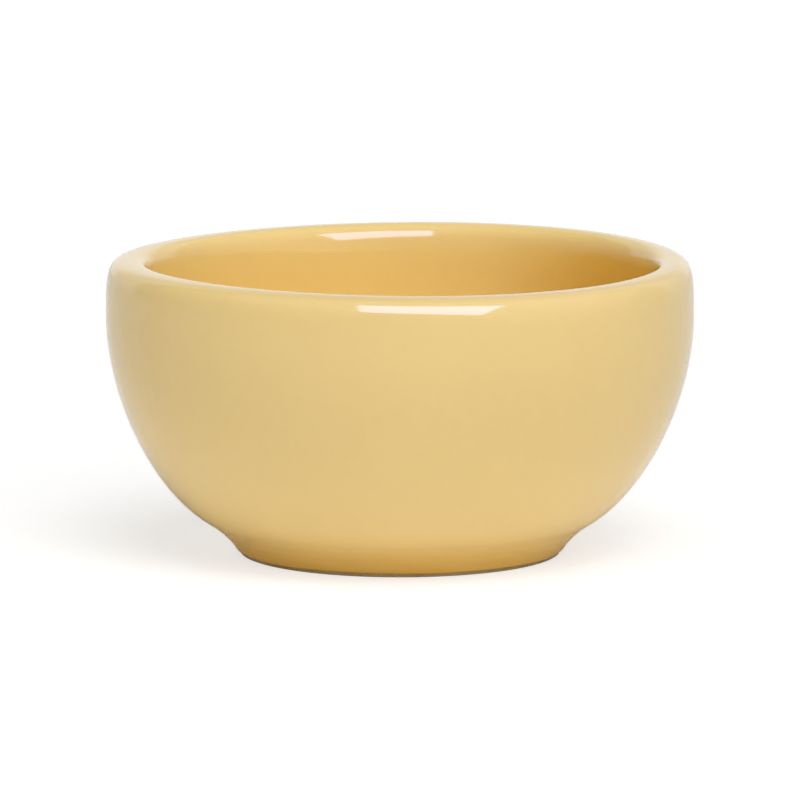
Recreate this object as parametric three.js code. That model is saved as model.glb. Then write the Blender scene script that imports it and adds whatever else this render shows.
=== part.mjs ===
// Nut bowl in glazed stoneware: a thick-walled round bowl with a rolled-in rim on a short flared foot.
// Millimetres, +Z up. The origin is the centre of the foot's standing ring, on the table.
// Every section is drawn in the half plane (radius, height) and turned about the bowl's axis.
import * as THREE from "three";

// Bowl, measured over the glaze
const BOWL_DIAMETER = 120;
const BOWL_HEIGHT = 60.4;
const WALL_THICKNESS = 8.8;
const FLOOR_THICKNESS = 7;

// Rim: how far the crest stands above the widest circle and in from it, the lip inside the crest, and the throat
// that leaves the lip with a lean and runs down to where the inside stands upright
const SHOULDER_RISE = 11.3;
const RIM_ROLL_IN = 5.1;
const LIP_WIDTH = 3.25;
const LIP_DROP = 4.05;
const THROAT_DROP = 13;
const THROAT_LEAN_DEG = 6.5;

// Foot: its side leans out from the standing ring, then sweeps into the wall at the neck
const FOOT_DIAMETER = 66.2;
const FOOT_HEIGHT = 6.8;
const FOOT_FLARE = 6.55;
const FOOT_LEAN_DEG = 20;
const NECK_SLOPE_DEG = 31;
const HEEL_THICKNESS = 9;

// Underside: a flat standing ring round a shallow turned recess
const FOOT_RING_WIDTH = 5.6;
const FOOT_RECESS_DEPTH = 2.6;
const RECESS_CORNER = 2.2;
const RECESS_DRAFT_DEG = 20;
const FOOT_EDGE_ROUND = 0.3;

// Glaze: its thickness, and the bare clay left above the table so that the foot doesn't stick in the kiln
const GLAZE_THICKNESS = 0.4;
const BARE_BAND = 0.7;

// Fullness of the curves: each handle as a share of the span that it runs along
const SHOULDER_SIDE_FULLNESS = 0.876;
const SHOULDER_CREST_FULLNESS = 0.914;
const LIP_CREST_FULLNESS = 0.94;
const LIP_SIDE_FULLNESS = 0.53;
const WALL_SIDE_FULLNESS = 0.381;
const WALL_NECK_FULLNESS = 0.58;
const SWEEP_FOOT_FULLNESS = 0.14;
const SWEEP_NECK_FULLNESS = 0.4;
const THROAT_FULLNESS = 0.36;
const FLOOR_FULLNESS = 0.45;
const RECESS_CORNER_FULLNESS = 0.55;

// Facets: segments round the bowl, and steps along each curve
const SEGMENTS = 48;
const SWEEP_STEPS = 4;
const WALL_STEPS = 7;
const SHOULDER_STEPS = 7;
const LIP_STEPS = 6;
const THROAT_STEPS = 3;
const INSIDE_STEPS = 6;
const FLOOR_STEPS = 4;
const RECESS_STEPS = 4;
const EDGE_STEPS = 2;

const radians = THREE.MathUtils.degToRad;
const at = (radius, height) => new THREE.Vector2(radius, height);
const along = (point, direction, distance) => point.clone().addScaledVector(direction, distance);
const bezier = (start, first, second, end) => new THREE.CubicBezierCurve(start, first, second, end);
const rounding = (start, corner, end) => new THREE.QuadraticBezierCurve(start, corner, end);

// A turn round a corner, from the side that leads to it to the side that leaves it.
function quarter(start, corner, end, startShare, endShare) {
  return bezier(start, start.clone().lerp(corner, startShare), end.clone().lerp(corner, endShare), end);
}

// A wall that drops upright from its widest circle and runs out along the neck's slope.
function wallCurve(widest, neck) {
  const overhang = (widest.x - neck.x) * WALL_NECK_FULLNESS;
  const upright = at(widest.x, widest.y - (widest.y - neck.y) * WALL_SIDE_FULLNESS);
  const sloped = at(neck.x + overhang, neck.y + overhang * Math.tan(radians(NECK_SLOPE_DEG)));
  return bezier(neck, sloped, upright, widest);
}

const reversed = (curve) => bezier(curve.v3, curve.v2, curve.v1, curve.v0);

// Points of the glazed surface and of the clay under it, in step along a chain of curves that keeps the clay
// on its left hand: each clay point lies one glaze thickness inside its surface point.
function glazedSection(chain) {
  const surface = [];
  const clay = [];
  chain.forEach(([curve, steps], index) => {
    for (let step = index === 0 ? 0 : 1; step <= steps; step += 1) {
      const point = curve.getPoint(step / steps);
      const heading = curve.getTangent(step / steps);
      surface.push(point);
      clay.push(along(point, at(heading.y, -heading.x), -GLAZE_THICKNESS));
    }
  });
  return { surface, clay };
}

// Moves a section's end point onto the axis exactly, so that the turned piece closes there.
function closeOnAxis(section, index) {
  section.surface.at(index).x = 0;
  section.clay.at(index).x = 0;
}

// Outside and inside of the bowl, from the glaze line on the foot, over the rim, to the middle of the floor.
function bowlSection() {
  const outerRadius = BOWL_DIAMETER / 2;
  const bellyHeight = BOWL_HEIGHT - SHOULDER_RISE;
  const footSide = at(Math.sin(radians(FOOT_LEAN_DEG)), Math.cos(radians(FOOT_LEAN_DEG)));
  const neckSlope = at(Math.cos(radians(NECK_SLOPE_DEG)), Math.sin(radians(NECK_SLOPE_DEG)));
  const glazeLine = along(at(FOOT_DIAMETER / 2, 0), footSide, BARE_BAND / footSide.y);
  const neck = at(FOOT_DIAMETER / 2 + FOOT_FLARE, FOOT_HEIGHT);
  const belly = at(outerRadius, bellyHeight);
  const crest = at(outerRadius - RIM_ROLL_IN, BOWL_HEIGHT);
  const lip = at(crest.x - LIP_WIDTH, crest.y - LIP_DROP);
  const insideBelly = at(outerRadius - WALL_THICKNESS, lip.y - THROAT_DROP);
  const heel = along(neck, at(-neckSlope.y, neckSlope.x), HEEL_THICKNESS);
  const middle = at(0, FOOT_RECESS_DEPTH + FLOOR_THICKNESS);

  const sweepSpan = glazeLine.distanceTo(neck);
  const sweep = bezier(
    glazeLine,
    along(glazeLine, footSide, SWEEP_FOOT_FULLNESS * sweepSpan),
    along(neck, neckSlope, -SWEEP_NECK_FULLNESS * sweepSpan),
    neck,
  );
  const shoulder = quarter(belly, at(belly.x, crest.y), crest, SHOULDER_SIDE_FULLNESS, SHOULDER_CREST_FULLNESS);
  const throatSide = at(Math.sin(radians(THROAT_LEAN_DEG)), Math.cos(radians(THROAT_LEAN_DEG)));
  const lipCorner = along(lip, throatSide, LIP_DROP / throatSide.y);
  const lipRound = quarter(crest, lipCorner, lip, LIP_CREST_FULLNESS, LIP_SIDE_FULLNESS);
  const throat = bezier(
    lip,
    along(lip, throatSide, -THROAT_FULLNESS * THROAT_DROP),
    at(insideBelly.x, insideBelly.y + THROAT_FULLNESS * THROAT_DROP),
    insideBelly,
  );
  const floor = bezier(
    heel,
    along(heel, neckSlope, -FLOOR_FULLNESS * (heel.y - middle.y) / neckSlope.y),
    at(heel.x * FLOOR_FULLNESS, middle.y),
    middle,
  );
  const section = glazedSection([
    [sweep, SWEEP_STEPS],
    [wallCurve(belly, neck), WALL_STEPS],
    [shoulder, SHOULDER_STEPS],
    [lipRound, LIP_STEPS],
    [throat, THROAT_STEPS],
    [reversed(wallCurve(insideBelly, heel)), INSIDE_STEPS],
    [floor, FLOOR_STEPS],
  ]);
  closeOnAxis(section, -1);
  return { ...section, footSide };
}

// Recess under the foot, from the axis out to the glaze line on the inner side of the standing ring.
function recessSection() {
  const ringSide = at(Math.sin(radians(RECESS_DRAFT_DEG)), -Math.cos(radians(RECESS_DRAFT_DEG)));
  const ringEdge = at(FOOT_DIAMETER / 2 - FOOT_RING_WIDTH, 0);
  const glazeLine = along(ringEdge, ringSide, BARE_BAND / ringSide.y);
  const roofCorner = along(ringEdge, ringSide, FOOT_RECESS_DEPTH / ringSide.y);
  const middle = at(0, FOOT_RECESS_DEPTH);
  const cornerStart = along(roofCorner, at(-1, 0), RECESS_CORNER);
  const section = glazedSection([
    [new THREE.LineCurve(middle, cornerStart), 1],
    [
      bezier(
        cornerStart,
        cornerStart.clone().lerp(roofCorner, RECESS_CORNER_FULLNESS),
        glazeLine.clone().lerp(roofCorner, RECESS_CORNER_FULLNESS),
        glazeLine,
      ),
      RECESS_STEPS,
    ],
  ]);
  closeOnAxis(section, 0);
  return { ...section, ringSide };
}

// Bare clay between two glaze lines: down to the table, across the flat standing ring and up again.
function standingRing(innerLine, innerSide, outerLine, outerSide) {
  const innerFoot = along(innerLine, innerSide, -innerLine.y / innerSide.y);
  const outerFoot = along(outerLine, outerSide, -outerLine.y / outerSide.y);
  const innerRound = rounding(
    along(innerFoot, innerSide, -FOOT_EDGE_ROUND),
    innerFoot,
    along(innerFoot, at(1, 0), FOOT_EDGE_ROUND),
  );
  const outerRound = rounding(
    along(outerFoot, at(-1, 0), FOOT_EDGE_ROUND),
    outerFoot,
    along(outerFoot, outerSide, FOOT_EDGE_ROUND),
  );
  return [...innerRound.getPoints(EDGE_STEPS), ...outerRound.getPoints(EDGE_STEPS)];
}

// Turns a section about the bowl's axis and stands it upright.
function turned(name, section, material) {
  const geometry = new THREE.LatheGeometry(section, SEGMENTS);
  geometry.rotateX(Math.PI / 2);
  const mesh = new THREE.Mesh(geometry, material);
  mesh.name = name;
  return mesh;
}

const bowl = bowlSection();
const recess = recessSection();
const ring = standingRing(recess.clay.at(-1), recess.ringSide, bowl.clay[0], bowl.footSide);

const firedClay = new THREE.MeshStandardMaterial({ color: "#d9c4a2", roughness: 0.9, metalness: 0 });
const butterGlaze = new THREE.MeshStandardMaterial({ color: "#e4c57f", roughness: 0.12, metalness: 0 });
const recessGlaze = new THREE.MeshStandardMaterial({ color: "#dfbf78", roughness: 0.18, metalness: 0 });

const nutBowl = new THREE.Group();
nutBowl.name = "nut_bowl";
nutBowl.add(turned("clay_body", [...recess.clay, ...ring, ...bowl.clay], firedClay));
nutBowl.add(turned("glaze_coat", [...bowl.clay.toReversed(), ...bowl.surface], butterGlaze));
nutBowl.add(turned("foot_recess_glaze", [...recess.surface, ...recess.clay.toReversed()], recessGlaze));

export default nutBowl;
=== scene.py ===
"""Looks of a nut bowl: thick thrown stoneware under a glossy butter yellow glaze.

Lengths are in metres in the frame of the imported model: +Z up, the viewer on the -Y side, the foot on the
table.
"""

import logging
import math
from abc import ABC, abstractmethod
from dataclasses import dataclass
from enum import Enum
from typing import Any, ClassVar, Mapping, Sequence, Union

import bpy
from mathutils import Matrix, Vector, noise


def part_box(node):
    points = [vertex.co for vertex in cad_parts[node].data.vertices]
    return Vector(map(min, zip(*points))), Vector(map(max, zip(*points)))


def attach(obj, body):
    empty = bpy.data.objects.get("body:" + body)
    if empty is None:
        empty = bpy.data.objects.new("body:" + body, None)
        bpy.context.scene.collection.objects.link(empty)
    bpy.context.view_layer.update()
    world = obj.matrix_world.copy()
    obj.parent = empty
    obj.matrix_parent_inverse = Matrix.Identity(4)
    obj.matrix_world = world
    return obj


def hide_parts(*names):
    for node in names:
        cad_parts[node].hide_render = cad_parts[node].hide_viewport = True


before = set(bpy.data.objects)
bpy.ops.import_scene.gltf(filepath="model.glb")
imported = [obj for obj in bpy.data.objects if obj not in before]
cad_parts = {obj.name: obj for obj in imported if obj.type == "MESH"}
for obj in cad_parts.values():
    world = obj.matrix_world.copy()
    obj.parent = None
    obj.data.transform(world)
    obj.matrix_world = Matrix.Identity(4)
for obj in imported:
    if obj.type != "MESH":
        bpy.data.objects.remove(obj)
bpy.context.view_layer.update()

log = logging.getLogger("nut_bowl")

MM = 0.001
BODY = "root"

Colour = tuple[float, float, float, float]
Pair = tuple[float, float]
Rings = list[list[Pair]]

WHITE: Colour = (1.0, 1.0, 1.0, 1.0)


class CadNode(Enum):
    """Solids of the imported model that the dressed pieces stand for."""

    CLAY = "clay_body"
    COAT = "glaze_coat"
    PATCH = "foot_recess_glaze"


class Coordinates(Enum):
    """Where a place is on a piece, which way its surface faces, and which way a ray looks."""

    PLACE = "Object"
    FACING = "Normal"
    LOOKING = "Generated"


class Ray(Enum):
    """Where a ray comes from: the camera, gloss or glass."""

    CAMERA = "Is Camera Ray"
    GLOSS = "Is Glossy Ray"
    GLASS = "Is Transmission Ray"


class Slot(Enum):
    """Material slots of the record."""

    CLAY = "fired_clay"
    COAT = "butter_glaze"
    PATCH = "recess_glaze"


def eased(value: float, start: float, stop: float) -> float:
    """Smooth step from 0 at start to 1 at stop, which may lie on either side of start.

    Args:
        value: Where on the step.
        start: Where the step leaves 0.
        stop: Where the step reaches 1.

    Returns:
        A number from 0 to 1.
    """
    share = min(1.0, max(0.0, (value - start) / (stop - start)))
    return share * share * (3.0 - 2.0 * share)


def turned(radius: float, angle: float, height: float) -> tuple[float, float, float]:
    """Place at a radius, at an angle round the bowl from +X, and at a height."""
    return radius * math.cos(angle), radius * math.sin(angle), height


def linked(name: str, data: bpy.types.ID) -> bpy.types.Object:
    """Makes an object and links it to the scene.

    Args:
        name: Name of the object.
        data: Mesh, light or camera that it shows.

    Returns:
        The object.
    """
    made = bpy.data.objects.new(name, data)
    bpy.context.scene.collection.objects.link(made)
    return made


@dataclass(frozen=True)
class Curve:
    """A cubic curve in the half plane of radius and height."""

    start: Vector
    first: Vector
    second: Vector
    end: Vector

    @classmethod
    def straight(cls, start: Vector, end: Vector) -> "Curve":
        """A straight line, with its handles at its thirds."""
        return cls(start, start.lerp(end, 1.0 / 3.0), start.lerp(end, 2.0 / 3.0), end)

    @classmethod
    def round_corner(cls, start: Vector, corner: Vector, end: Vector, fullness: Pair) -> "Curve":
        """A turn round a corner.

        Args:
            start: Where the turn leaves its first side.
            corner: Where the two sides would meet.
            end: Where the turn reaches its second side.
            fullness: How far the first and the second handle run to the corner.

        Returns:
            The curve from start to end.
        """
        start_share, end_share = fullness
        return cls(start, start.lerp(corner, start_share), end.lerp(corner, end_share), end)

    def point(self, share: float) -> Vector:
        """Finds a place on the curve.

        Args:
            share: How far along the curve, from 0 to 1.

        Returns:
            The point there.
        """
        rest = 1.0 - share
        handles = 3.0 * rest * share * (self.first * rest + self.second * share)
        return self.start * rest**3 + handles + self.end * share**3

    def heading(self, share: float) -> Vector:
        """Finds the way that the curve runs.

        Args:
            share: How far along the curve, from 0 to 1.

        Returns:
            Unit direction of travel there.
        """
        rest = 1.0 - share
        start_pull = (self.first - self.start) * rest**2
        middle_pull = 2.0 * rest * share * (self.second - self.first)
        end_pull = (self.end - self.second) * share**2
        return (start_pull + middle_pull + end_pull).normalized()

    def backwards(self) -> "Curve":
        """The same curve, run from its end to its start."""
        return Curve(self.end, self.second, self.first, self.start)


@dataclass(frozen=True)
class Station:
    """A place on a glazed section: its point, the way its surface faces, and its run from the start."""

    point: Vector
    facing: Vector
    run: float


def stations(chain: Sequence[tuple[Curve, int]]) -> list[Station]:
    """Walks a chain of curves that keeps the clay on its left hand.

    Args:
        chain: Each curve with the number of steps along it.

    Returns:
        The places at the steps, from the chain's start to its end.
    """
    found: list[Station] = []
    for curve, steps in chain:
        for step in range(1 if found else 0, steps + 1):
            point = curve.point(step / steps)
            heading = curve.heading(step / steps)
            run = found[-1].run + (point - found[-1].point).length if found else 0.0
            found.append(Station(point, Vector((heading.y, -heading.x)), run))
    return found


@dataclass(frozen=True)
class Wave:
    """One of a line's waves round the bowl: its share of the whole, its folds to a turn and its phase."""

    share: float
    folds: float
    phase: float

    def at(self, angle: float) -> float:
        """Height of the wave at an angle round the bowl."""
        return self.share * math.sin(self.folds * angle + self.phase)


@dataclass(frozen=True)
class HandMarks:
    """What the maker's hands and the kiln leave on the form, all far smaller than the form itself."""

    # Warp of the rim, its folds to a turn, and the height that it begins at
    rim_sway: float = 0.30 * MM
    rim_folds: float = 2.0
    sway_foot: float = 25.0 * MM

    # Opening off the middle, the heights that it begins and is full at, and how far the rim faces out or in
    # where it ends or is full
    opening_shift: float = 0.47 * MM
    shift_foot: float = 15.0 * MM
    shift_top: float = 40.0 * MM
    rim_facing: float = 0.5

    # Throwing rings, which fade out towards ring_top, and the waves in the glaze, calm round the middle
    ring_height: float = 0.007 * MM
    ring_pitch: float = 2.3 * MM
    ring_top: float = 34.0 * MM
    ring_foot: float = 5.0 * MM
    wave_height: float = 0.012 * MM
    wave_size: float = 7.0 * MM
    calm_middle: float = 8.0 * MM

    # Wiped glaze line: how far it strays, and how far from it the glaze goes with it
    line_wander: float = 0.14 * MM
    line_waves: tuple[Wave, ...] = (Wave(0.6, 3.0, 0.7), Wave(0.4, 7.0, 2.1))
    line_reach: float = 3.0 * MM

    def lift(self, height: float, rim: float, angle: float) -> float:
        """How far the drying rim has warped up or down.

        Args:
            height: Height of the place.
            rim: Height of the rim.
            angle: Angle round the bowl, from +X.

        Returns:
            A rise in metres, nothing low on the bowl.
        """
        return self.rim_sway * math.sin(self.rim_folds * angle) * eased(height, self.sway_foot, rim)

    def aside(self, place: Station, angle: float) -> float:
        """How far the inside has been opened off the middle.

        Args:
            place: Place on the section.
            angle: Angle round the bowl, from +X.

        Returns:
            A distance outward in metres, nothing on the outside and low in the bowl.
        """
        inward = eased(place.facing.x, self.rim_facing, -self.rim_facing)
        high = eased(place.point.y, self.shift_foot, self.shift_top)
        return self.opening_shift * inward * high * math.cos(angle)

    def swell(self, place: Station, angle: float) -> float:
        """Throwing rings and the melted glaze's slow waves.

        Args:
            place: Place on the section.
            angle: Angle round the bowl, from +X.

        Returns:
            A distance in metres along the way that the surface faces.
        """
        radius, height = place.point
        ring = math.sin(math.tau * place.run / self.ring_pitch + angle)
        fading = eased(height, self.ring_top, self.ring_foot)
        wave = noise.noise(Vector(turned(radius, angle, height)) / self.wave_size)
        calm = eased(radius, 0.0, self.calm_middle)
        return calm * (self.ring_height * ring * fading + self.wave_height * wave)

    def wander(self, angle: float) -> float:
        """How far the wiped glaze line strays up or down the foot at an angle."""
        return self.line_wander * sum(wave.at(angle) for wave in self.line_waves)


@dataclass(frozen=True)
class Fullness:
    """How full the section's curves are: each handle as a share of the span that it runs along."""

    shoulder: Pair = (0.876, 0.914)
    lip: Pair = (0.94, 0.53)
    recess: Pair = (0.55, 0.55)
    edge: Pair = (0.6, 0.6)
    wall_side: float = 0.381
    wall_neck: float = 0.58
    sweep_foot: float = 0.14
    sweep_neck: float = 0.4
    throat: float = 0.36
    floor: float = 0.45


@dataclass(frozen=True)
class Steps:
    """How many segments the bowl has round it, and how many steps along each of the section's curves."""

    around: int = 224
    sweep: int = 34
    wall: int = 40
    shoulder: int = 34
    lip: int = 30
    throat: int = 14
    inside: int = 34
    floor: int = 28
    roof: int = 40
    corner: int = 20
    edge: int = 8


@dataclass(frozen=True)
class BowlForm:
    """Sizes of the bowl, over the glaze, and the sections that they give."""

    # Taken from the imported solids
    diameter: float
    height: float
    glaze: float
    bare_band: float
    recess_depth: float

    # Wall, rim and throat
    wall: float = 8.8 * MM
    floor: float = 7.0 * MM
    shoulder_rise: float = 11.3 * MM
    roll_in: float = 5.1 * MM
    lip_width: float = 3.25 * MM
    lip_drop: float = 4.05 * MM
    throat_drop: float = 13.0 * MM
    throat_lean: float = math.radians(6.5)

    # Foot and its sweep into the wall
    foot_diameter: float = 66.2 * MM
    foot_height: float = 6.8 * MM
    foot_flare: float = 6.55 * MM
    foot_lean: float = math.radians(20.0)
    neck_slope: float = math.radians(31.0)
    heel: float = 9.0 * MM

    # Underside
    ring_width: float = 5.6 * MM
    recess_corner: float = 2.2 * MM
    recess_draft: float = math.radians(20.0)
    edge_round: float = 0.3 * MM

    # Glaze at its line: a rounded edge with a bead behind it
    edge_run: float = 0.45 * MM
    bead_run: float = 0.9 * MM
    bead_spread: float = 0.45 * MM
    bead_rise: float = 0.07 * MM

    fullness: Fullness = Fullness()
    steps: Steps = Steps()
    marks: HandMarks = HandMarks()

    @classmethod
    def from_frame(cls) -> "BowlForm":
        """Takes the overall sizes and the glaze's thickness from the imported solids.

        Returns:
            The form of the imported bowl.
        """
        clay_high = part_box(CadNode.CLAY.value)[1]
        coat_low, coat_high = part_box(CadNode.COAT.value)
        patch_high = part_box(CadNode.PATCH.value)[1]
        glaze = coat_high.z - clay_high.z
        return cls(
            diameter=coat_high.x - coat_low.x,
            height=coat_high.z,
            glaze=glaze,
            bare_band=coat_low.z,
            recess_depth=patch_high.z - glaze,
        )

    @property
    def foot_side(self) -> Vector:
        """Direction up the leaning side of the foot."""
        return Vector((math.sin(self.foot_lean), math.cos(self.foot_lean)))

    @property
    def recess_side(self) -> Vector:
        """Direction down the inner side of the standing ring."""
        return Vector((math.sin(self.recess_draft), -math.cos(self.recess_draft)))

    def wall_curve(self, widest: Vector, neck: Vector) -> Curve:
        """A wall that drops upright from its widest circle and runs out along the neck's slope.

        Args:
            widest: Point on the widest circle.
            neck: Point where the wall meets the foot.

        Returns:
            The curve from the neck up to the widest circle.
        """
        overhang = self.fullness.wall_neck * (widest.x - neck.x)
        upright = Vector((widest.x, widest.y - self.fullness.wall_side * (widest.y - neck.y)))
        sloped = neck + Vector((overhang, overhang * math.tan(self.neck_slope)))
        return Curve(neck, sloped, upright, widest)

    def coat_stations(self) -> list[Station]:
        """Walks the outside and the inside of the bowl.

        Returns:
            The places from the glaze line on the foot, over the rim, to the middle of the floor.
        """
        slope = Vector((math.cos(self.neck_slope), math.sin(self.neck_slope)))
        throat_side = Vector((math.sin(self.throat_lean), math.cos(self.throat_lean)))
        foot = Vector((self.foot_diameter / 2.0, 0.0))
        line = foot + self.foot_side * (self.bare_band / self.foot_side.y)
        neck = Vector((foot.x + self.foot_flare, self.foot_height))
        belly = Vector((self.diameter / 2.0, self.height - self.shoulder_rise))
        crest = Vector((belly.x - self.roll_in, self.height))
        lip = Vector((crest.x - self.lip_width, crest.y - self.lip_drop))
        inside = Vector((belly.x - self.wall, lip.y - self.throat_drop))
        heel = neck + Vector((-slope.y, slope.x)) * self.heel
        middle = Vector((0.0, self.recess_depth + self.floor))

        full = self.fullness
        span = (neck - line).length
        sweep_start = line + self.foot_side * (full.sweep_foot * span)
        sweep = Curve(line, sweep_start, neck - slope * (full.sweep_neck * span), neck)
        shoulder = Curve.round_corner(belly, Vector((belly.x, crest.y)), crest, full.shoulder)
        lip_corner = lip + throat_side * (self.lip_drop / throat_side.y)
        lip_round = Curve.round_corner(crest, lip_corner, lip, full.lip)
        handle = full.throat * self.throat_drop
        throat = Curve(lip, lip - throat_side * handle, inside + Vector((0.0, handle)), inside)
        floor_handle = slope * (full.floor * (heel.y - middle.y) / slope.y)
        floor = Curve(heel, heel - floor_handle, Vector((full.floor * heel.x, middle.y)), middle)
        return stations([
            (sweep, self.steps.sweep),
            (self.wall_curve(belly, neck), self.steps.wall),
            (shoulder, self.steps.shoulder),
            (lip_round, self.steps.lip),
            (throat, self.steps.throat),
            (self.wall_curve(inside, heel).backwards(), self.steps.inside),
            (floor, self.steps.floor),
        ])

    def patch_stations(self) -> list[Station]:
        """Walks the recess under the foot.

        Returns:
            The places from the axis out to the glaze line on the inner side of the standing ring.
        """
        edge = Vector((self.foot_diameter / 2.0 - self.ring_width, 0.0))
        line = edge + self.recess_side * (self.bare_band / self.recess_side.y)
        corner = edge + self.recess_side * (self.recess_depth / self.recess_side.y)
        bend = corner - Vector((self.recess_corner, 0.0))
        roof = Curve.straight(Vector((0.0, self.recess_depth)), bend)
        turn = Curve.round_corner(bend, corner, line, self.fullness.recess)
        return stations([(roof, self.steps.roof), (turn, self.steps.corner)])

    def coat_thickness(self, run: float) -> float:
        """Thickness of the glaze near its line: a rounded edge, a bead behind it, then even.

        Args:
            run: Distance from the glaze line, along the surface.

        Returns:
            The thickness in metres.
        """
        share = min(1.0, run / self.edge_run)
        bead = math.exp(-((run - self.bead_run) / self.bead_spread) ** 2)
        return (self.glaze + self.bead_rise * bead) * math.sqrt(1.0 - (1.0 - share) ** 2)


@dataclass
class TurnedPiece:
    """A piece that is turned about the bowl's axis: makes its mesh, dresses it and puts it in the frame."""

    name: ClassVar[str]
    node: ClassVar[CadNode]
    slot: ClassVar[Slot]

    form: BowlForm

    def angles(self) -> list[float]:
        """Angles of the segments round the bowl, from +X."""
        return [math.tau * index / self.form.steps.around for index in range(self.form.steps.around)]

    def surface_point(self, place: Station, angle: float, depth: float) -> Pair:
        """Point at a depth under the glazed surface, with the marks of the hand.

        Args:
            place: Place on the section.
            angle: Angle round the bowl, from +X.
            depth: Distance inward from the surface.

        Returns:
            Radius and height of the point.
        """
        marks = self.form.marks
        point = place.point + place.facing * (marks.swell(place, angle) - depth)
        lift = marks.lift(place.point.y, self.form.height, angle)
        return point.x + marks.aside(place, angle), point.y + lift

    def mesh_of(self, rings: Rings, bottom: float, top: float) -> bpy.types.Object:
        """Closes a section's rings over the axis.

        Args:
            rings: For each angle, the section's points (radius, height) between its two ends on the axis.
            bottom: Height of the first end, where the surface faces down.
            top: Height of the last end, where the surface faces up.

        Returns:
            The piece, smooth shaded and linked to the scene.
        """
        count = len(rings[0])
        turns = len(rings)
        points = [(0.0, 0.0, bottom), (0.0, 0.0, top)]
        first_end, last_end = range(len(points))
        ring_start = len(points)
        for angle, ring in zip(self.angles(), rings):
            points += [turned(radius, angle, height) for radius, height in ring]
        faces: list[tuple[int, ...]] = []
        for turn in range(turns):
            here = ring_start + turn * count
            there = ring_start + (turn + 1) % turns * count
            faces.append((first_end, there, here))
            faces += [(here + i, there + i, there + i + 1, here + i + 1) for i in range(count - 1)]
            faces.append((here + count - 1, there + count - 1, last_end))
        mesh = bpy.data.meshes.new(self.name)
        mesh.from_pydata(points, [], faces)
        mesh.shade_smooth()
        return linked(self.name, mesh)

    def dress(self, piece: bpy.types.Object, finish: "Finish") -> None:
        """Gives a piece its finish and lets it stand for its solid, on the bowl's one body.

        Args:
            piece: The piece as it was built.
            finish: Its finish.
        """
        piece.data.materials.append(finish.material())
        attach(piece, BODY)
        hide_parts(self.node.value)
        log.info("%s: %d faces, for %s", piece.name, len(piece.data.polygons), self.node.value)


@dataclass
class GlazeCoat(TurnedPiece):
    """Coat of glaze over the outside, the rim and the inside."""

    name = "butter_glaze_skin"
    node = CadNode.COAT
    slot = Slot.COAT

    def build(self) -> bpy.types.Object:
        """Makes the coat: its face on the clay, the rounded edge at the glaze line, and the surface.

        Returns:
            The coat as one closed piece.
        """
        glaze = self.form.glaze
        *places, middle = self.form.coat_stations()
        depths = [glaze - self.form.coat_thickness(place.run) for place in places]
        rings: Rings = []
        for angle in self.angles():
            shifted = [self.wandered(place, angle) for place in places]
            under = [self.surface_point(place, angle, glaze) for place in shifted]
            over = [self.surface_point(place, angle, depth) for place, depth in zip(shifted, depths)]
            rings.append(under[::-1] + over[1:])
        return self.mesh_of(rings, middle.point.y - glaze, middle.point.y)

    def wandered(self, place: Station, angle: float) -> Station:
        """Moves a place near the glaze line along the foot, as far as the line strays.

        Args:
            place: Place on the section.
            angle: Angle round the bowl, from +X.

        Returns:
            The moved place.
        """
        marks = self.form.marks
        pull = marks.wander(angle) * (1.0 - min(1.0, place.run / marks.line_reach)) ** 2
        along = Vector((-place.facing.y, place.facing.x))
        return Station(place.point + along * pull, place.facing, place.run)


@dataclass
class RecessPatch(TurnedPiece):
    """Patch of glaze inside the recess under the foot, with the rings of the trimming tool."""

    name = "recess_glaze_patch"
    node = CadNode.PATCH
    slot = Slot.PATCH

    trim_depth: float = 0.03 * MM
    trim_pitch: float = 1.6 * MM

    def build(self) -> bpy.types.Object:
        """Makes the patch: its surface, the rounded edge at its glaze line, and its face on the clay.

        Returns:
            The patch as one closed piece.
        """
        glaze = self.form.glaze
        middle, *places = self.form.patch_stations()
        line_run = places[-1].run
        depths = [glaze - self.form.coat_thickness(line_run - place.run) for place in places]
        rings: Rings = []
        for angle in self.angles():
            over = [self.trimmed(place, angle, depth) for place, depth in zip(places, depths)]
            under = [self.trimmed(place, angle, glaze) for place in places]
            rings.append(over[:-1] + under[::-1])
        return self.mesh_of(rings, middle.point.y, middle.point.y + glaze)

    def trimmed(self, place: Station, angle: float, depth: float) -> Pair:
        """Point at a depth over the recess's surface, with the spiral that the trimming tool leaves.

        Args:
            place: Place on the section.
            angle: Angle round the bowl, from +X.
            depth: Distance inward from the surface.

        Returns:
            Radius and height of the point.
        """
        calm = eased(place.point.x, 0.0, self.form.marks.calm_middle)
        spiral = self.trim_depth * calm * math.sin(math.tau * place.point.x / self.trim_pitch - angle)
        flat = eased(place.point.y, self.form.bare_band, self.form.recess_depth)
        point = place.point + place.facing * (spiral * flat - depth)
        return point.x, point.y


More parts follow.
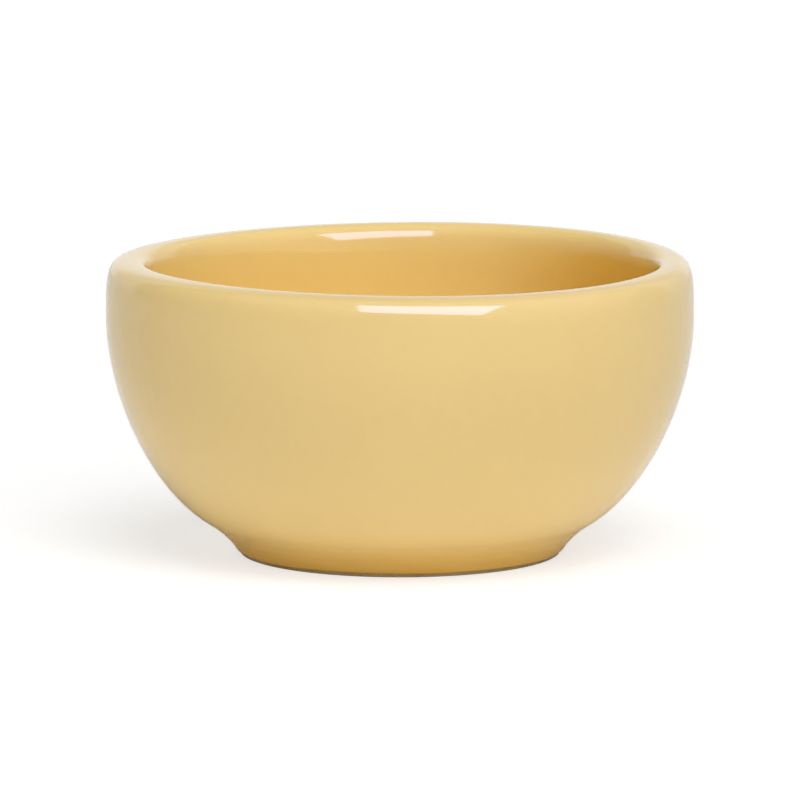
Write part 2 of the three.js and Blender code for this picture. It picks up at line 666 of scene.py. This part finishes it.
@dataclass
class ClayBody(TurnedPiece):
    """Fired body under the glaze, bare only on the standing ring."""

    name = "fired_stoneware"
    node = CadNode.CLAY
    slot = Slot.CLAY

    def build(self, patch: RecessPatch) -> bpy.types.Object:
        """Makes the body.

        Args:
            patch: Patch of glaze in the recess, whose face the body's recess fits.

        Returns:
            The body as one closed piece.
        """
        glaze = self.form.glaze
        recess_middle, *recess = self.form.patch_stations()
        *coat, floor_middle = self.form.coat_stations()
        ring = self.ring_points(recess[-1], coat[0])
        rings: Rings = []
        for angle in self.angles():
            roof = [patch.trimmed(place, angle, glaze) for place in recess]
            skin = [self.surface_point(place, angle, glaze) for place in coat]
            rings.append(roof + ring + skin)
        return self.mesh_of(rings, recess_middle.point.y + glaze, floor_middle.point.y - glaze)

    def ring_points(self, inner: Station, outer: Station) -> list[Pair]:
        """Bare clay between the two glaze lines: down to the table, across the flat ring and up again.

        Args:
            inner: Place of the glaze line inside the ring.
            outer: Place of the glaze line outside the ring.

        Returns:
            Radius and height of the points, with both edges rounded.
        """
        form = self.form
        inner_line = inner.point - inner.facing * form.glaze
        outer_line = outer.point - outer.facing * form.glaze
        inner_foot = inner_line - form.recess_side * (inner_line.y / form.recess_side.y)
        outer_foot = outer_line - form.foot_side * (outer_line.y / form.foot_side.y)
        inner_start = inner_foot - form.recess_side * form.edge_round
        outer_end = outer_foot + form.foot_side * form.edge_round
        across = Vector((form.edge_round, 0.0))
        inner_round = Curve.round_corner(inner_start, inner_foot, inner_foot + across, form.fullness.edge)
        outer_round = Curve.round_corner(outer_foot - across, outer_foot, outer_end, form.fullness.edge)
        shares = [step / form.steps.edge for step in range(form.steps.edge + 1)]
        points = [curve.point(share) for curve in (inner_round, outer_round) for share in shares]
        return [(point.x, point.y) for point in points]


class Signal:
    """A number that varies over a surface: a node's output that takes part in Python expressions."""

    def __init__(self, bench: "Bench", socket: bpy.types.NodeSocket) -> None:
        """Wraps an output of a bench's node."""
        self.bench = bench
        self.socket = socket

    def maths(self, operation: str, first: "Wire", second: "Wire") -> "Signal":
        """Adds one Math node to the bench.

        Args:
            operation: The node's operation.
            first: Its first number.
            second: Its second number.

        Returns:
            The node's result.
        """
        made = self.bench.node("ShaderNodeMath", {"operation": operation}, {0: first, 1: second})
        return Signal(self.bench, made.outputs[0])

    def __add__(self, other: "Wire") -> "Signal":
        """Sum with a number or another signal."""
        return self.maths("ADD", self, other)

    __radd__ = __add__

    def __sub__(self, other: "Wire") -> "Signal":
        """Difference from a number or another signal."""
        return self.maths("SUBTRACT", self, other)

    def __rsub__(self, other: "Wire") -> "Signal":
        """What is left of a number when this signal is taken away."""
        return self.maths("SUBTRACT", other, self)

    def __mul__(self, other: "Wire") -> "Signal":
        """Product with a number or another signal."""
        return self.maths("MULTIPLY", self, other)

    __rmul__ = __mul__

    def positive(self) -> "Signal":
        """The signal where it is above 0, and 0 elsewhere."""
        return self.maths("MAXIMUM", self, 0.0)


Wire = Union[Signal, bpy.types.NodeSocket, float, Sequence[float]]


class Bench:
    """A node tree under work: every node of a finish or of the surroundings is made here."""

    def __init__(self, tree: bpy.types.NodeTree) -> None:
        """Clears a tree to work on."""
        self.tree = tree
        tree.nodes.clear()

    def node(
        self,
        kind: str,
        settings: Mapping[str, Any] | None = None,
        sockets: Mapping[str | int, Wire] | None = None,
    ) -> bpy.types.Node:
        """Adds one node.

        Args:
            kind: The node's type.
            settings: Its own settings, which are set first.
            sockets: Value of each input, or what is linked to it, by name or number.

        Returns:
            The node.
        """
        made = self.tree.nodes.new(kind)
        for key, value in (settings or {}).items():
            setattr(made, key, value)
        for key, value in (sockets or {}).items():
            if isinstance(value, Signal):
                self.tree.links.new(value.socket, made.inputs[key])
            elif isinstance(value, bpy.types.NodeSocket):
                self.tree.links.new(value, made.inputs[key])
            else:
                made.inputs[key].default_value = value
        return made

    def where(self, kind: Coordinates) -> bpy.types.NodeSocket:
        """Coordinates of one kind, in the frame."""
        return self.node("ShaderNodeTexCoord").outputs[kind.value]

    def rays(self) -> list[Signal]:
        """Whether a ray comes from the camera, from gloss or from glass: for each 1 or 0."""
        path = self.node("ShaderNodeLightPath")
        return [Signal(self, path.outputs[ray.value]) for ray in Ray]

    def parts(self, vector: bpy.types.NodeSocket) -> list[Signal]:
        """The three numbers of a vector."""
        split = self.node("ShaderNodeSeparateXYZ", None, {0: vector})
        return [Signal(self, output) for output in split.outputs]

    def along(self, vector: bpy.types.NodeSocket, direction: Vector) -> Signal:
        """How far a vector reaches along a unit direction."""
        made = self.node("ShaderNodeVectorMath", {"operation": "DOT_PRODUCT"}, {0: vector, 1: direction})
        return Signal(self, made.outputs["Value"])

    def stretched(self, vector: bpy.types.NodeSocket, scale: Sequence[float]) -> bpy.types.NodeSocket:
        """A vector with each of its numbers scaled."""
        made = self.node("ShaderNodeVectorMath", {"operation": "MULTIPLY"}, {0: vector, 1: scale})
        return made.outputs[0]

    def noise(self, vector: bpy.types.NodeSocket, size: float, detail: float = 2.0) -> Signal:
        """Soft noise.

        Args:
            vector: Where on the surface.
            size: Size of its patches, in the vector's unit.
            detail: How many finer layers it has.

        Returns:
            A signal about 0, from -0.5 to 0.5.
        """
        sockets = {"Vector": vector, "Scale": 1.0 / size, "Detail": detail}
        made = self.node("ShaderNodeTexNoise", None, sockets)
        return Signal(self, made.outputs["Fac"]) - 0.5

    def step(self, value: Signal, start: float, stop: float, low: float = 0.0, high: float = 1.0) -> Signal:
        """Smooth step of a signal.

        Args:
            value: The signal.
            start: Where the step begins.
            stop: Where it ends.
            low: Result at the start.
            high: Result at the end.

        Returns:
            The step's result, held beyond its ends.
        """
        made = self.node(
            "ShaderNodeMapRange",
            {"interpolation_type": "SMOOTHSTEP"},
            {0: value, 1: start, 2: stop, 3: low, 4: high},
        )
        return Signal(self, made.outputs[0])

    def mixed(self, factor: Wire, first: Wire, second: Wire) -> bpy.types.NodeSocket:
        """Colour between two colours.

        Args:
            factor: 0 for the first colour, 1 for the second.
            first: Colour or link.
            second: Colour or link.

        Returns:
            The mixed colour.
        """
        made = self.node("ShaderNodeMix", {"data_type": "RGBA"}, {0: factor, 6: first, 7: second})
        return made.outputs[2]

    def shaded(self, colour: Wire, amount: Signal) -> bpy.types.NodeSocket:
        """Colour made lighter or darker by a signal about 1."""
        made = self.node("ShaderNodeVectorMath", {"operation": "SCALE"}, {0: colour, "Scale": amount})
        return made.outputs[0]

    def relief(self, height: Signal, depth: float) -> bpy.types.NodeSocket:
        """Fine relief for a shader's Normal: a height signal, with one unit of it as deep as depth."""
        sockets = {"Strength": 1.0, "Distance": depth, "Height": height}
        return self.node("ShaderNodeBump", None, sockets).outputs[0]


@dataclass(frozen=True)
class Finish(ABC):
    """The look of a surface: a named material, whose nodes each kind of finish makes in its own way."""

    name: str

    @abstractmethod
    def shader(self, bench: Bench) -> bpy.types.Node:
        """Makes the shader and everything that feeds it, on a cleared bench."""

    def material(self) -> bpy.types.Material:
        """Makes the material.

        Returns:
            The material, with the finish's nodes.
        """
        made = bpy.data.materials.new(self.name)
        made.use_nodes = True
        bench = Bench(made.node_tree)
        bench.node("ShaderNodeOutputMaterial", None, {"Surface": self.shader(bench).outputs[0]})
        return made


@dataclass(frozen=True)
class GlazeFinish(Finish):
    """Glossy coloured glaze.

    Inside the bowl it has a lighter copy of its colour, painted light for the light that falls in there, and
    a darker painted shade on the inside's right-hand wall. Low on the bowl it is darker, partly where it
    pools and partly painted shade by the foot. It is lighter where it thins on the rim.
    """

    body: Colour
    # Inside: a lighter copy of the glaze's colour, painted light for the light that falls inside the bowl
    inside: Colour
    # Low on the bowl: partly pooled glaze, partly painted shade by the foot
    pooled_and_shaded: Colour
    # Painted shade on the inside's right-hand wall
    painted_shade: Colour
    thinned: Colour
    roughness: float = 0.07
    gloss_change: float = 0.03
    ior: float = 1.53

    # Turn over the rim to the inside's colour, a lighter copy that is painted light: half its width, in
    # radius times how far the surface faces out
    turn_width: float = 8.0 * MM

    # Pooled glaze and painted shade by the foot, between two heights
    pool_and_shade_top: float = 11.2 * MM
    pool_and_shade_foot: float = 0.0 * MM
    pool_and_shade_share: float = 0.78

    # Thinning on the rim, between two heights
    thin_foot: float = 56.0 * MM
    thin_top: float = 60.6 * MM
    thin_share: float = 0.25

    # Painted shade on the inside's right-hand wall: how far to the right it begins and is full, and the
    # heights that it fades out between
    shade_start: float = 16.0 * MM
    shade_full: float = 50.0 * MM
    shade_top: float = 59.0 * MM
    shade_foot: float = 55.5 * MM
    shade_share: float = 0.85

    # Clouds and mottles in the tone, streaks round the foot, and the melted surface's slight orange peel
    cloud_size: float = 26.0 * MM
    cloud_depth: float = 0.045
    mottle_size: float = 2.6 * MM
    mottle_depth: float = 0.03
    mottle_detail: float = 3.0
    streak_stretch: tuple[float, float, float] = (0.05, 0.05, 1.0)
    streak_size: float = 0.9 * MM
    streak_depth: float = 0.05
    streak_share: float = 0.8
    peel_size: float = 3.2 * MM
    peel_depth: float = 0.006 * MM
    peel_detail: float = 1.0

    def shader(self, bench: Bench) -> bpy.types.Node:
        """Makes the glaze.

        Args:
            bench: Where its nodes go.

        Returns:
            The shader.
        """
        where = bench.where(Coordinates.PLACE)
        east, north, height = bench.parts(where)
        face_east, face_north, _ = bench.parts(bench.where(Coordinates.FACING))
        cloud = bench.noise(where, self.cloud_size)
        mottle = bench.noise(where, self.mottle_size, self.mottle_detail)
        streak = bench.noise(bench.stretched(where, self.streak_stretch), self.streak_size)
        peel = bench.noise(where, self.peel_size, self.peel_detail)

        outward = east * face_east + north * face_north
        within = bench.step(outward, self.turn_width, -self.turn_width)
        # Painted shade on the inside's right-hand wall, below the lip
        below_lip = bench.step(height, self.shade_top, self.shade_foot)
        to_right = bench.step(east, self.shade_start, self.shade_full, 0.0, self.shade_share)
        painted_shade = to_right * within * below_lip
        # Darker low on the bowl: partly pooled glaze, partly painted shade by the foot
        low = bench.step(height, self.pool_and_shade_top, self.pool_and_shade_foot)
        pooled_and_shaded = low * self.pool_and_shade_share + low * streak * self.streak_share
        thinned = bench.step(height, self.thin_foot, self.thin_top) * self.thin_share

        # Lighter copy of the colour inside the bowl: painted light
        both_sides = bench.mixed(within, self.body, self.inside)
        with_painted_shade = bench.mixed(painted_shade, both_sides, self.painted_shade)
        with_pool_and_shade = bench.mixed(pooled_and_shaded, with_painted_shade, self.pooled_and_shaded)
        colour = bench.mixed(thinned, with_pool_and_shade, self.thinned)
        clouded = 1.0 + cloud * self.cloud_depth + mottle * self.mottle_depth
        tone = clouded + streak * low * self.streak_depth
        return bench.node(
            "ShaderNodeBsdfPrincipled",
            None,
            {
                "Base Color": bench.shaded(colour, tone),
                "Roughness": self.roughness + mottle * self.gloss_change,
                "IOR": self.ior,
                "Normal": bench.relief(peel, self.peel_depth),
            },
        )


@dataclass(frozen=True)
class ClayFinish(Finish):
    """Bare fired stoneware: buff, matt and slightly sandy, with a few darker grains."""

    body: Colour
    toasted: Colour
    grains: Colour
    roughness: float = 0.86
    ior: float = 1.45
    toast_size: float = 9.0 * MM
    toast_edges: Pair = (-0.2, 0.25)
    grain_size: float = 0.8 * MM
    grain_detail: float = 1.0
    grain_edges: Pair = (0.17, 0.22)
    grain_share: float = 0.7
    sand_size: float = 0.35 * MM
    sand_detail: float = 3.0
    sand_depth: float = 0.03 * MM
    sand_tone: float = 0.25
    sand_gloss: float = 0.1

    def shader(self, bench: Bench) -> bpy.types.Node:
        """Makes the clay.

        Args:
            bench: Where its nodes go.

        Returns:
            The shader.
        """
        where = bench.where(Coordinates.PLACE)
        toast = bench.noise(where, self.toast_size)
        sand = bench.noise(where, self.sand_size, self.sand_detail)
        grain = bench.noise(where, self.grain_size, self.grain_detail)
        warmth = bench.step(toast, *self.toast_edges)
        specks = bench.step(grain, *self.grain_edges, 0.0, self.grain_share)
        warmed = bench.mixed(warmth, self.body, self.toasted)
        speckled = bench.mixed(specks, warmed, self.grains)
        return bench.node(
            "ShaderNodeBsdfPrincipled",
            None,
            {
                "Base Color": bench.shaded(speckled, 1.0 + sand * self.sand_tone),
                "Roughness": self.roughness + sand * self.sand_gloss,
                "IOR": self.ior,
                "Normal": bench.relief(sand, self.sand_depth),
            },
        )


@dataclass(frozen=True)
class FloorFinish(Finish):
    """Pale floor that looks white apart from the bowl's shadow, and shows dim in the bowl's gloss."""

    colour: Colour = (0.93, 0.93, 0.93, 1.0)
    seen_colour: Colour = (0.40, 0.40, 0.40, 1.0)
    seen_glow: float = 0.69
    gloss_glow: float = 0.06
    bounce_glow: float = 0.12

    def shader(self, bench: Bench) -> bpy.types.Node:
        """Makes the floor's look: dull colour, and a glow that depends on where a ray comes from.

        Args:
            bench: Where its nodes go.

        Returns:
            The shader.
        """
        camera, gloss, glass = bench.rays()
        seen = camera + glass
        bounced = 1.0 - (seen + gloss)
        strength = seen * self.seen_glow + gloss * self.gloss_glow + bounced * self.bounce_glow
        colour = bench.mixed(seen, self.colour, self.seen_colour)
        dull = bench.node("ShaderNodeBsdfDiffuse", None, {"Color": colour})
        glow = bench.node("ShaderNodeEmission", None, {"Strength": strength})
        return bench.node("ShaderNodeAddShader", None, {0: dull.outputs[0], 1: glow.outputs[0]})


@dataclass(frozen=True)
class Direction:
    """A direction from the bowl: its bearing from the viewer's side, to the right, and its elevation."""

    bearing: float
    elevation: float

    @classmethod
    def degrees(cls, bearing: float, elevation: float) -> "Direction":
        """The direction with a bearing and an elevation in degrees."""
        return cls(math.radians(bearing), math.radians(elevation))

    @property
    def vector(self) -> Vector:
        """Unit vector of the direction."""
        level = Vector((math.sin(self.bearing), -math.cos(self.bearing), 0.0))
        return level * math.cos(self.elevation) + Vector((0.0, 0.0, math.sin(self.elevation)))


RIGHT = Direction.degrees(90.0, 0.0)
LEFT = Direction.degrees(-90.0, 0.0)
BEHIND = Direction.degrees(180.0, 0.0)
ABOVE = Direction.degrees(0.0, 90.0)
FRONT_RIGHT = Direction.degrees(40.0, 45.0)


@dataclass(frozen=True)
class Glow:
    """A broad patch of the surroundings, brightest in one direction and gone a quarter turn from it."""

    towards: Direction
    level: float

    def seen(self, bench: Bench, where: bpy.types.NodeSocket) -> Signal:
        """Brightness of the glow in the direction that a ray looks."""
        return bench.along(where, self.towards.vector).positive() * self.level


@dataclass(frozen=True)
class Surroundings:
    """White surroundings: a backdrop and broad glows in the gloss, and faint even light on the colours."""

    name: str = "white_surroundings"
    ambient: float = 0.06
    colour_glows: tuple[Glow, ...] = (Glow(BEHIND, 0.05),)
    gloss_glows: tuple[Glow, ...] = (
        Glow(FRONT_RIGHT, 1.0),
        Glow(RIGHT, 0.5),
        Glow(LEFT, 0.55),
        Glow(ABOVE, 0.15),
    )
    backdrop_gloss: float = 0.6
    backdrop_half: float = math.radians(53.0)
    backdrop_blur: float = math.radians(3.0)
    middle_gloss: float = 0.34
    middle_half: float = math.radians(20.0)
    middle_blur: float = math.radians(12.0)

    def build(self) -> None:
        """Makes the world, which the camera sees as plain white."""
        world = bpy.data.worlds.new(self.name)
        bpy.context.scene.world = world
        world.use_nodes = True
        bench = Bench(world.node_tree)
        camera, gloss, glass = bench.rays()
        where = bench.where(Coordinates.LOOKING)
        shine = sum((glow.seen(bench, where) for glow in self.gloss_glows), self.backdrop(bench, where))
        light = sum((glow.seen(bench, where) for glow in self.colour_glows), self.ambient)
        dull = 1.0 - (camera + gloss + glass)
        strength = camera + glass + gloss * shine + dull * light
        sky = bench.node("ShaderNodeBackground", None, {"Color": WHITE, "Strength": strength})
        bench.node("ShaderNodeOutputWorld", None, {"Surface": sky.outputs[0]})

    def backdrop(self, bench: Bench, where: bpy.types.NodeSocket) -> Signal:
        """Brightness of the backdrop behind the bowl, which has a brighter middle.

        Args:
            bench: Where its nodes go.
            where: Direction that a ray looks in.

        Returns:
            The brightness in that direction.
        """
        behind = bench.along(where, BEHIND.vector)
        edge = math.cos(self.backdrop_half + self.backdrop_blur)
        full = math.cos(self.backdrop_half - self.backdrop_blur)
        middle_edge = math.cos(self.middle_half + self.middle_blur)
        middle_full = math.cos(self.middle_half - self.middle_blur)
        middle = bench.step(behind, middle_edge, middle_full, 0.0, self.middle_gloss)
        return bench.step(behind, edge, full, 0.0, self.backdrop_gloss) + middle


@dataclass(frozen=True)
class FarLight:
    """A broad soft light from far away, which lights the surfaces' own colour and shows in no gloss."""

    name: str
    towards: Direction
    spread: float
    level: float

    def hang(self) -> None:
        """Hangs the light."""
        light = bpy.data.lights.new(self.name, "SUN")
        light.energy = self.level * math.pi
        light.angle = self.spread
        lamp = linked(self.name, light)
        lamp.rotation_euler = self.towards.vector.to_track_quat("Z", "Y").to_euler()
        lamp.visible_glossy = False
        log.info("%s: level %.2f", self.name, self.level)


@dataclass(frozen=True)
class Softbox:
    """The face of a softbox, aimed at a point and rolled about its axis, which shows in the gloss only."""

    name: str
    towards: Direction
    distance: float
    width: float
    depth: float
    aim: tuple[float, float, float]
    roll: float
    radiance: float
    colour: tuple[float, float, float]

    def hang(self, rim: float) -> None:
        """Hangs the softbox.

        Args:
            rim: Height of the bowl's rim, which its direction and distance are taken from.
        """
        light = bpy.data.lights.new(self.name, "AREA")
        light.shape = "RECTANGLE"
        light.size = self.width
        light.size_y = self.depth
        light.energy = self.radiance * math.pi * self.width * self.depth
        light.color = self.colour
        lamp = linked(self.name, light)
        lamp.location = Vector((0.0, 0.0, rim)) + self.towards.vector * self.distance
        facing = (Vector(self.aim) - lamp.location).to_track_quat("-Z", "Y")
        lamp.rotation_euler = (facing.to_matrix() @ Matrix.Rotation(self.roll, 3, "Z")).to_euler()
        lamp.visible_camera = False
        lamp.visible_diffuse = False
        log.info("%s: %.2f by %.2f m", self.name, self.width, self.depth)


@dataclass(frozen=True)
class PhotoCamera:
    """Camera at the photograph's angle and framing."""

    name: str = "photo_camera"
    towards: Direction = Direction.degrees(0.0, 8.694)
    distance: float = 2.0
    aim_height: float = 31.2 * MM
    reach: float = 100.0
    sensor: float = 36.0
    image_side: int = 800
    pixels_per_metre: float = 4895.0

    def stand(self) -> None:
        """Stands the camera, so that a metre at the bowl spans its pixels in the photograph."""
        data = bpy.data.cameras.new(self.name)
        data.sensor_width = self.sensor
        data.lens = self.sensor * self.pixels_per_metre * self.distance / self.image_side
        data.clip_end = self.reach
        camera = linked(self.name, data)
        back = self.towards.vector
        camera.location = Vector((0.0, 0.0, self.aim_height)) + back * self.distance
        camera.rotation_euler = back.to_track_quat("Z", "Y").to_euler()
        bpy.context.scene.camera = camera


@dataclass(frozen=True)
class Studio:
    """Pale floor, white surroundings, soft light and the camera."""

    floor_name: str = "studio_floor"
    floor_radius: float = 6.0
    floor_sides: int = 96
    floor_finish: FloorFinish = FloorFinish("pale_floor")
    surroundings: Surroundings = Surroundings()
    lights: tuple[FarLight, ...] = (
        FarLight("front_light", Direction.degrees(25.0, 40.0), math.radians(40.0), 0.353),
        FarLight("overhead_light", Direction.degrees(14.0, 68.0), math.radians(40.0), 0.54),
        FarLight("side_fill", Direction.degrees(-75.0, 4.0), math.radians(8.0), 0.085),
        FarLight("back_fill", Direction.degrees(180.0, 5.0), math.radians(20.0), 0.22),
    )
    softbox: Softbox = Softbox(
        name="softbox_face",
        towards=Direction.degrees(11.3, 33.7),
        distance=0.5,
        width=0.441,
        depth=0.309,
        aim=(-0.041, 0.0, 0.0226),
        roll=math.radians(-14.1),
        radiance=9.2,
        colour=(0.4, 0.54, 1.0),
    )
    camera: PhotoCamera = PhotoCamera()

    def build(self, rim: float) -> None:
        """Sets the whole studio up.

        Args:
            rim: Height of the bowl's rim.
        """
        self.lay_floor()
        self.surroundings.build()
        for light in self.lights:
            light.hang()
        self.softbox.hang(rim)
        self.camera.stand()
        bpy.context.scene.view_settings.view_transform = "Standard"

    def lay_floor(self) -> None:
        """Lays the round floor."""
        turns = [math.tau * side / self.floor_sides for side in range(self.floor_sides)]
        edge = [turned(self.floor_radius, turn, 0.0) for turn in turns]
        mesh = bpy.data.meshes.new(self.floor_name)
        mesh.from_pydata(edge, [], [tuple(range(self.floor_sides))])
        mesh.materials.append(self.floor_finish.material())
        floor = linked(self.floor_name, mesh)
        log.info("%s: %.1f m across", floor.name, 2.0 * self.floor_radius)


BUTTER_GLAZE = GlazeFinish(
    name="butter_glaze",
    body=(0.858, 0.624, 0.245, 1.0),
    inside=(0.92, 0.675, 0.24, 1.0),
    pooled_and_shaded=(0.86, 0.51, 0.06, 1.0),
    painted_shade=(0.82, 0.475, 0.05, 1.0),
    thinned=(0.88, 0.65, 0.26, 1.0),
)
RECESS_YELLOW: Colour = (0.82, 0.57, 0.19, 1.0)
RECESS_GLAZE = GlazeFinish(
    name="recess_glaze",
    body=RECESS_YELLOW,
    inside=RECESS_YELLOW,
    pooled_and_shaded=(0.84, 0.59, 0.21, 1.0),
    painted_shade=RECESS_YELLOW,
    thinned=RECESS_YELLOW,
    roughness=0.1,
)
BUFF_CLAY = ClayFinish(
    name="buff_stoneware",
    body=(0.54, 0.41, 0.20, 1.0),
    toasted=(0.46, 0.31, 0.13, 1.0),
    grains=(0.22, 0.15, 0.09, 1.0),
)


def main() -> None:
    """Builds the bowl's pieces and the studio in order."""
    logging.basicConfig(level=logging.INFO, format="%(name)s: %(message)s")
    log.info("%d solids in the frame", len(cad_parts))
    form = BowlForm.from_frame()
    patch = RecessPatch(form)
    clay = ClayBody(form)
    coat = GlazeCoat(form)
    clay.dress(clay.build(patch), BUFF_CLAY)
    patch.dress(patch.build(), RECESS_GLAZE)
    coat.dress(coat.build(), BUTTER_GLAZE)
    Studio().build(form.height)


if __name__ == "__main__":
    main()
